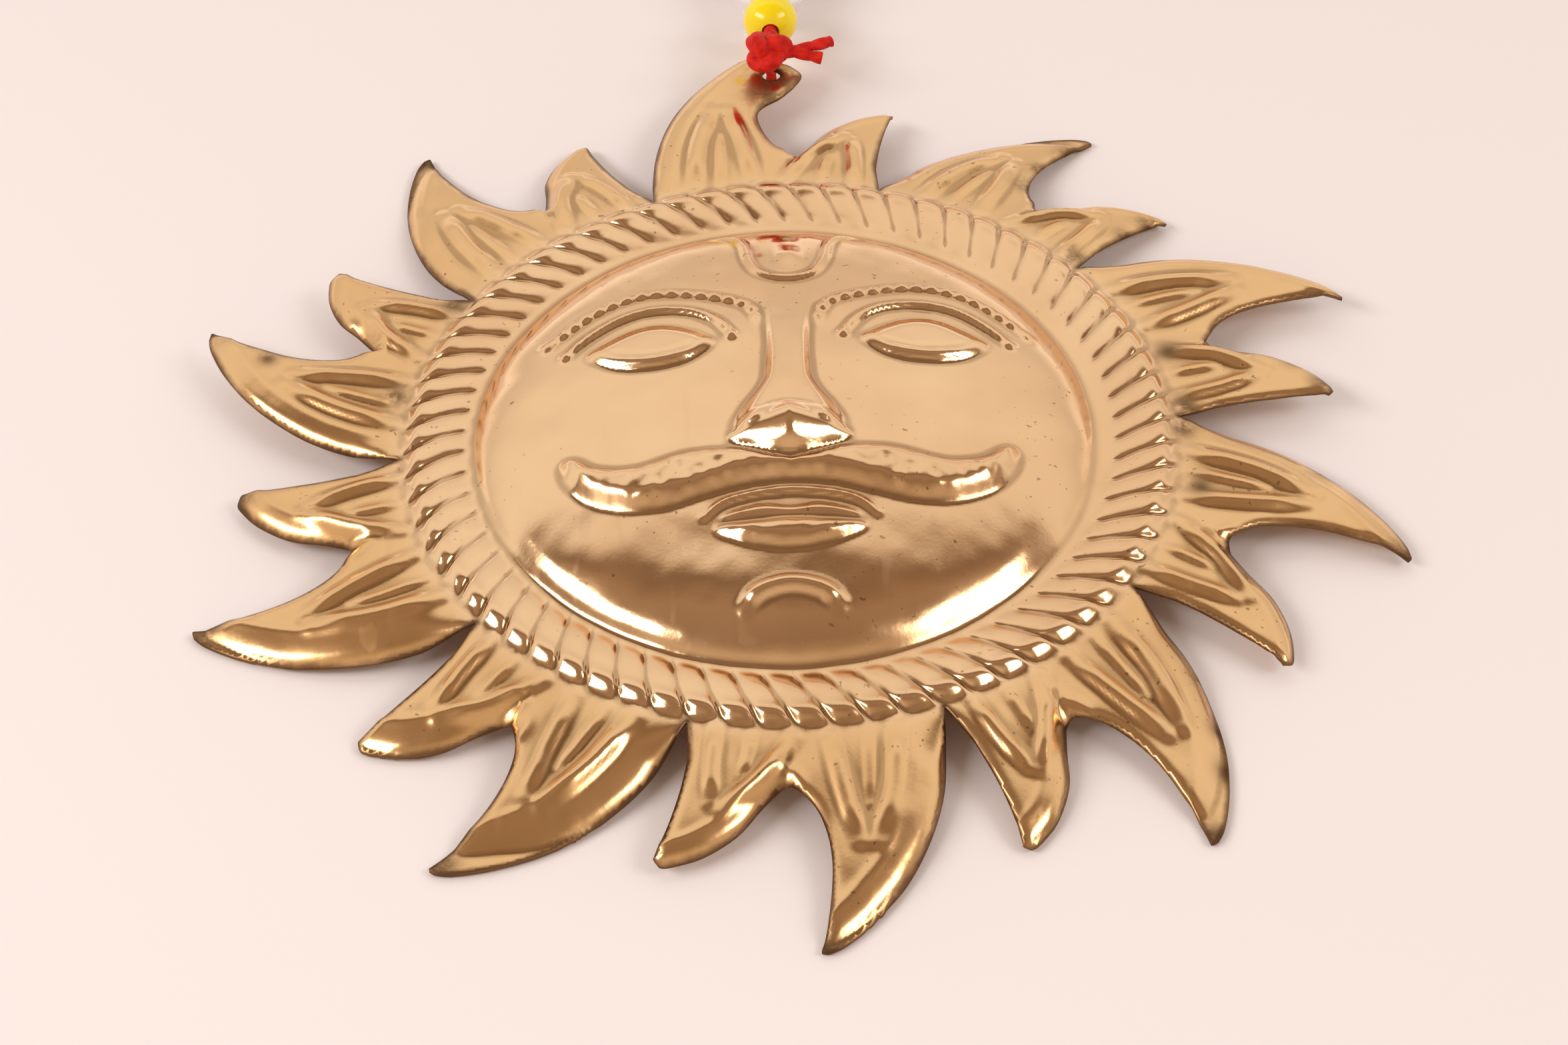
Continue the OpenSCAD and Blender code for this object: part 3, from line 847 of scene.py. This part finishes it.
def string_pieces(material):
    """The knots, tails, tie and strand, and the direction in which the beads are strung."""
    knot = np.array(node_middle("lower_knot")) / MM
    upper = np.array(node_middle("upper_knot")) / MM
    axis = np.array([0.0, upper[1] - knot[1], upper[2] - knot[2]])
    axis /= np.linalg.norm(axis)
    pieces = {}
    points, faces = knot_mesh(knot, LOWER_KNOT, LOWER_KNOT_YARN, 0.7)
    points = knot + (points - knot) * KNOT_STRETCH + KNOT_SHIFT
    pieces["lower"] = finish_piece(make_mesh("knot_lower", points, faces, material), "knot", "red_thread",
                                   "lower_knot")
    points, faces = knot_mesh(upper, UPPER_KNOT, UPPER_KNOT_YARN, -0.5)
    pieces["upper"] = finish_piece(make_mesh("knot_upper", points, faces, material), "strand", "red_thread",
                                   "upper_knot")
    # The strand's ends are hidden in the knots
    path = even([knot + axis * 1.6, upper - axis * 1.0], 0.12)
    points, faces = yarn(path, STRAND_YARN, pitch=3.0)
    pieces["strand"] = finish_piece(make_mesh("thread_strand", points, faces, material), "strand",
                                    "red_thread", "bead_strand")
    for name, node, bend in (("tail_long", "knot_tail_long", -0.3), ("tail_short", "knot_tail_short", 0.4)):
        low, high = (np.array(v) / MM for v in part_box(node))
        tip = np.array([high[0] - 0.3, (low[1] + high[1]) / 2, (low[2] + high[2]) / 2])
        away = tip - knot
        middle = knot + away * 0.5 + np.array([0, bend, 0])
        path = even(smooth([knot + away * 0.2, middle, tip], 8), 0.15)
        points, faces = yarn(path, TAIL_YARN, pitch=3.2, ends=(0.9, 1.15))
        pieces[name] = finish_piece(make_mesh(name, points, faces, material), "knot", "red_thread", node)
    low, high = (np.array(v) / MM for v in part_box("tie_loop"))
    bend = (high[1] - low[1]) / 2 - THREAD_R
    middle = np.array([(low[0] + high[0]) / 2, (low[1] + high[1]) / 2, NOTCH_Z - SHEET / 2])
    # From just over the hole, down through it and under the ray, to just over the ray's edge
    turn = np.radians(np.arange(172, 380, 3))
    path = middle + bend * np.column_stack([np.zeros(len(turn)), np.cos(turn), np.sin(turn)])
    points, faces = yarn(path, TIE_YARN, pitch=3.0)
    pieces["tie"] = finish_piece(make_mesh("thread_tie", points, faces, material), "sun", "red_thread",
                                 "tie_loop")
    return pieces, axis


def beads(axis, yellow, clear):
    """Both beads, each on its own body."""
    pieces = []
    for (name, radius), material in zip(BEADS, (yellow, clear)):
        middle = np.array(node_middle(name)) / MM
        points, faces = bead_mesh(middle, axis, radius - BEAD_ROOM)
        pieces.append(finish_piece(make_mesh(name + "_moulded", points, faces, material), name, name, name))
    return pieces


# ---------------------------------------------------------------- floor and light

def add_floor(material):
    mesh = bpy.data.meshes.new("floor")
    corners = [(x * FLOOR_REACH, y * FLOOR_REACH, 0) for x, y in ((-1, -1), (1, -1), (1, 1), (-1, 1))]
    mesh.from_pydata(corners, [], [(0, 1, 2, 3)])
    mesh.materials.append(material)
    floor = bpy.data.objects.new("floor", mesh)
    floor.location.z = -FLOOR_DROP
    bpy.context.scene.collection.objects.link(floor)


def add_light(name, place, along, size, power):
    """A soft box that faces the object, with its long side as near as it can be to a direction."""
    data = bpy.data.lights.new(name, "AREA")
    data.shape = "RECTANGLE"
    data.size, data.size_y = size
    data.energy = power
    lamp = bpy.data.objects.new(name, data)
    back = Vector(place).normalized()
    across = Vector(along)
    across = (across - back * across.dot(back)).normalized()
    turn = Matrix((across, back.cross(across), back)).transposed()
    lamp.matrix_world = Matrix.Translation(place) @ turn.to_4x4()
    bpy.context.scene.collection.objects.link(lamp)


# The room's colours as an arc over the object, from the front at 0 by overhead at 0.5 to the back at 1
ROOM = [(0.0, 0.80, 0.70, 0.60), (0.20, 0.72, 0.60, 0.48), (0.27, 0.48, 0.37, 0.27),
        (0.33, 0.33, 0.24, 0.17), (0.50, 0.41, 0.30, 0.22), (0.585, 0.24, 0.165, 0.115),
        (0.60, 0.35, 0.26, 0.20), (0.62, 0.58, 0.50, 0.42), (0.65, 0.98, 0.96, 0.93),
        (0.75, 1.03, 1.01, 0.98), (0.85, 0.91, 0.88, 0.84), (0.92, 0.80, 0.76, 0.71),
        (0.96, 1.05, 1.01, 0.96), (1.0, 1.35, 1.3, 1.25)]


def add_world():
    """A pale room behind the object that darkens overhead and toward the front."""
    world = bpy.data.worlds.new("room")
    bpy.context.scene.world = world
    world.use_nodes = True
    tree = world.node_tree
    tree.nodes.clear()
    out = tree.nodes.new("ShaderNodeOutputWorld")
    light = tree.nodes.new("ShaderNodeBackground")
    tree.links.new(light.outputs[0], out.inputs[0])
    where = tree.nodes.new("ShaderNodeTexCoord")
    split = tree.nodes.new("ShaderNodeSeparateXYZ")
    tree.links.new(where.outputs["Generated"], split.inputs[0])
    angle = tree.nodes.new("ShaderNodeMath")
    angle.operation = "ARCTAN2"
    flip = tree.nodes.new("ShaderNodeMath")
    flip.operation = "MULTIPLY"
    flip.inputs[1].default_value = -1.0
    tree.links.new(split.outputs["Y"], flip.inputs[0])
    tree.links.new(split.outputs["Z"], angle.inputs[0])
    tree.links.new(flip.outputs[0], angle.inputs[1])
    share = tree.nodes.new("ShaderNodeMath")
    share.operation = "DIVIDE"
    share.inputs[1].default_value = math.pi
    tree.links.new(angle.outputs[0], share.inputs[0])
    ramp = tree.nodes.new("ShaderNodeValToRGB")
    tree.links.new(share.outputs[0], ramp.inputs[0])
    tree.links.new(ramp.outputs[0], light.inputs[0])
    ramp.color_ramp.elements.remove(ramp.color_ramp.elements[1])
    for i, (position, red, green, blue) in enumerate(ROOM):
        stop = ramp.color_ramp.elements[0] if i == 0 else ramp.color_ramp.elements.new(position)
        stop.position = position
        stop.color = (red, green, blue, 1)
    light.inputs[1].default_value = 1.0


def build():
    add_camera()
    thread = red_thread()
    loop, path, length = hanging_loop(thread)
    strings, axis = string_pieces(thread)
    strung = beads(axis, yellow_plastic(), clear_plastic())
    sheet = sun_sheet(stamped_metal())
    finish_piece(sheet, "sun", "stamped_metal", "sun_plate")
    add_floor(pale_cloth())
    add_light("left_softbox", (-0.60, -0.20, 0.52), (-0.35, 0.60, -0.26), (0.64, 0.20), 3.4)
    add_light("right_softbox", (0.68, -0.22, 0.59), (0.30, 0.45, -0.20), (0.55, 0.26), 2.3)
    add_world()
    bpy.context.scene.view_settings.view_transform = "Standard"


build()
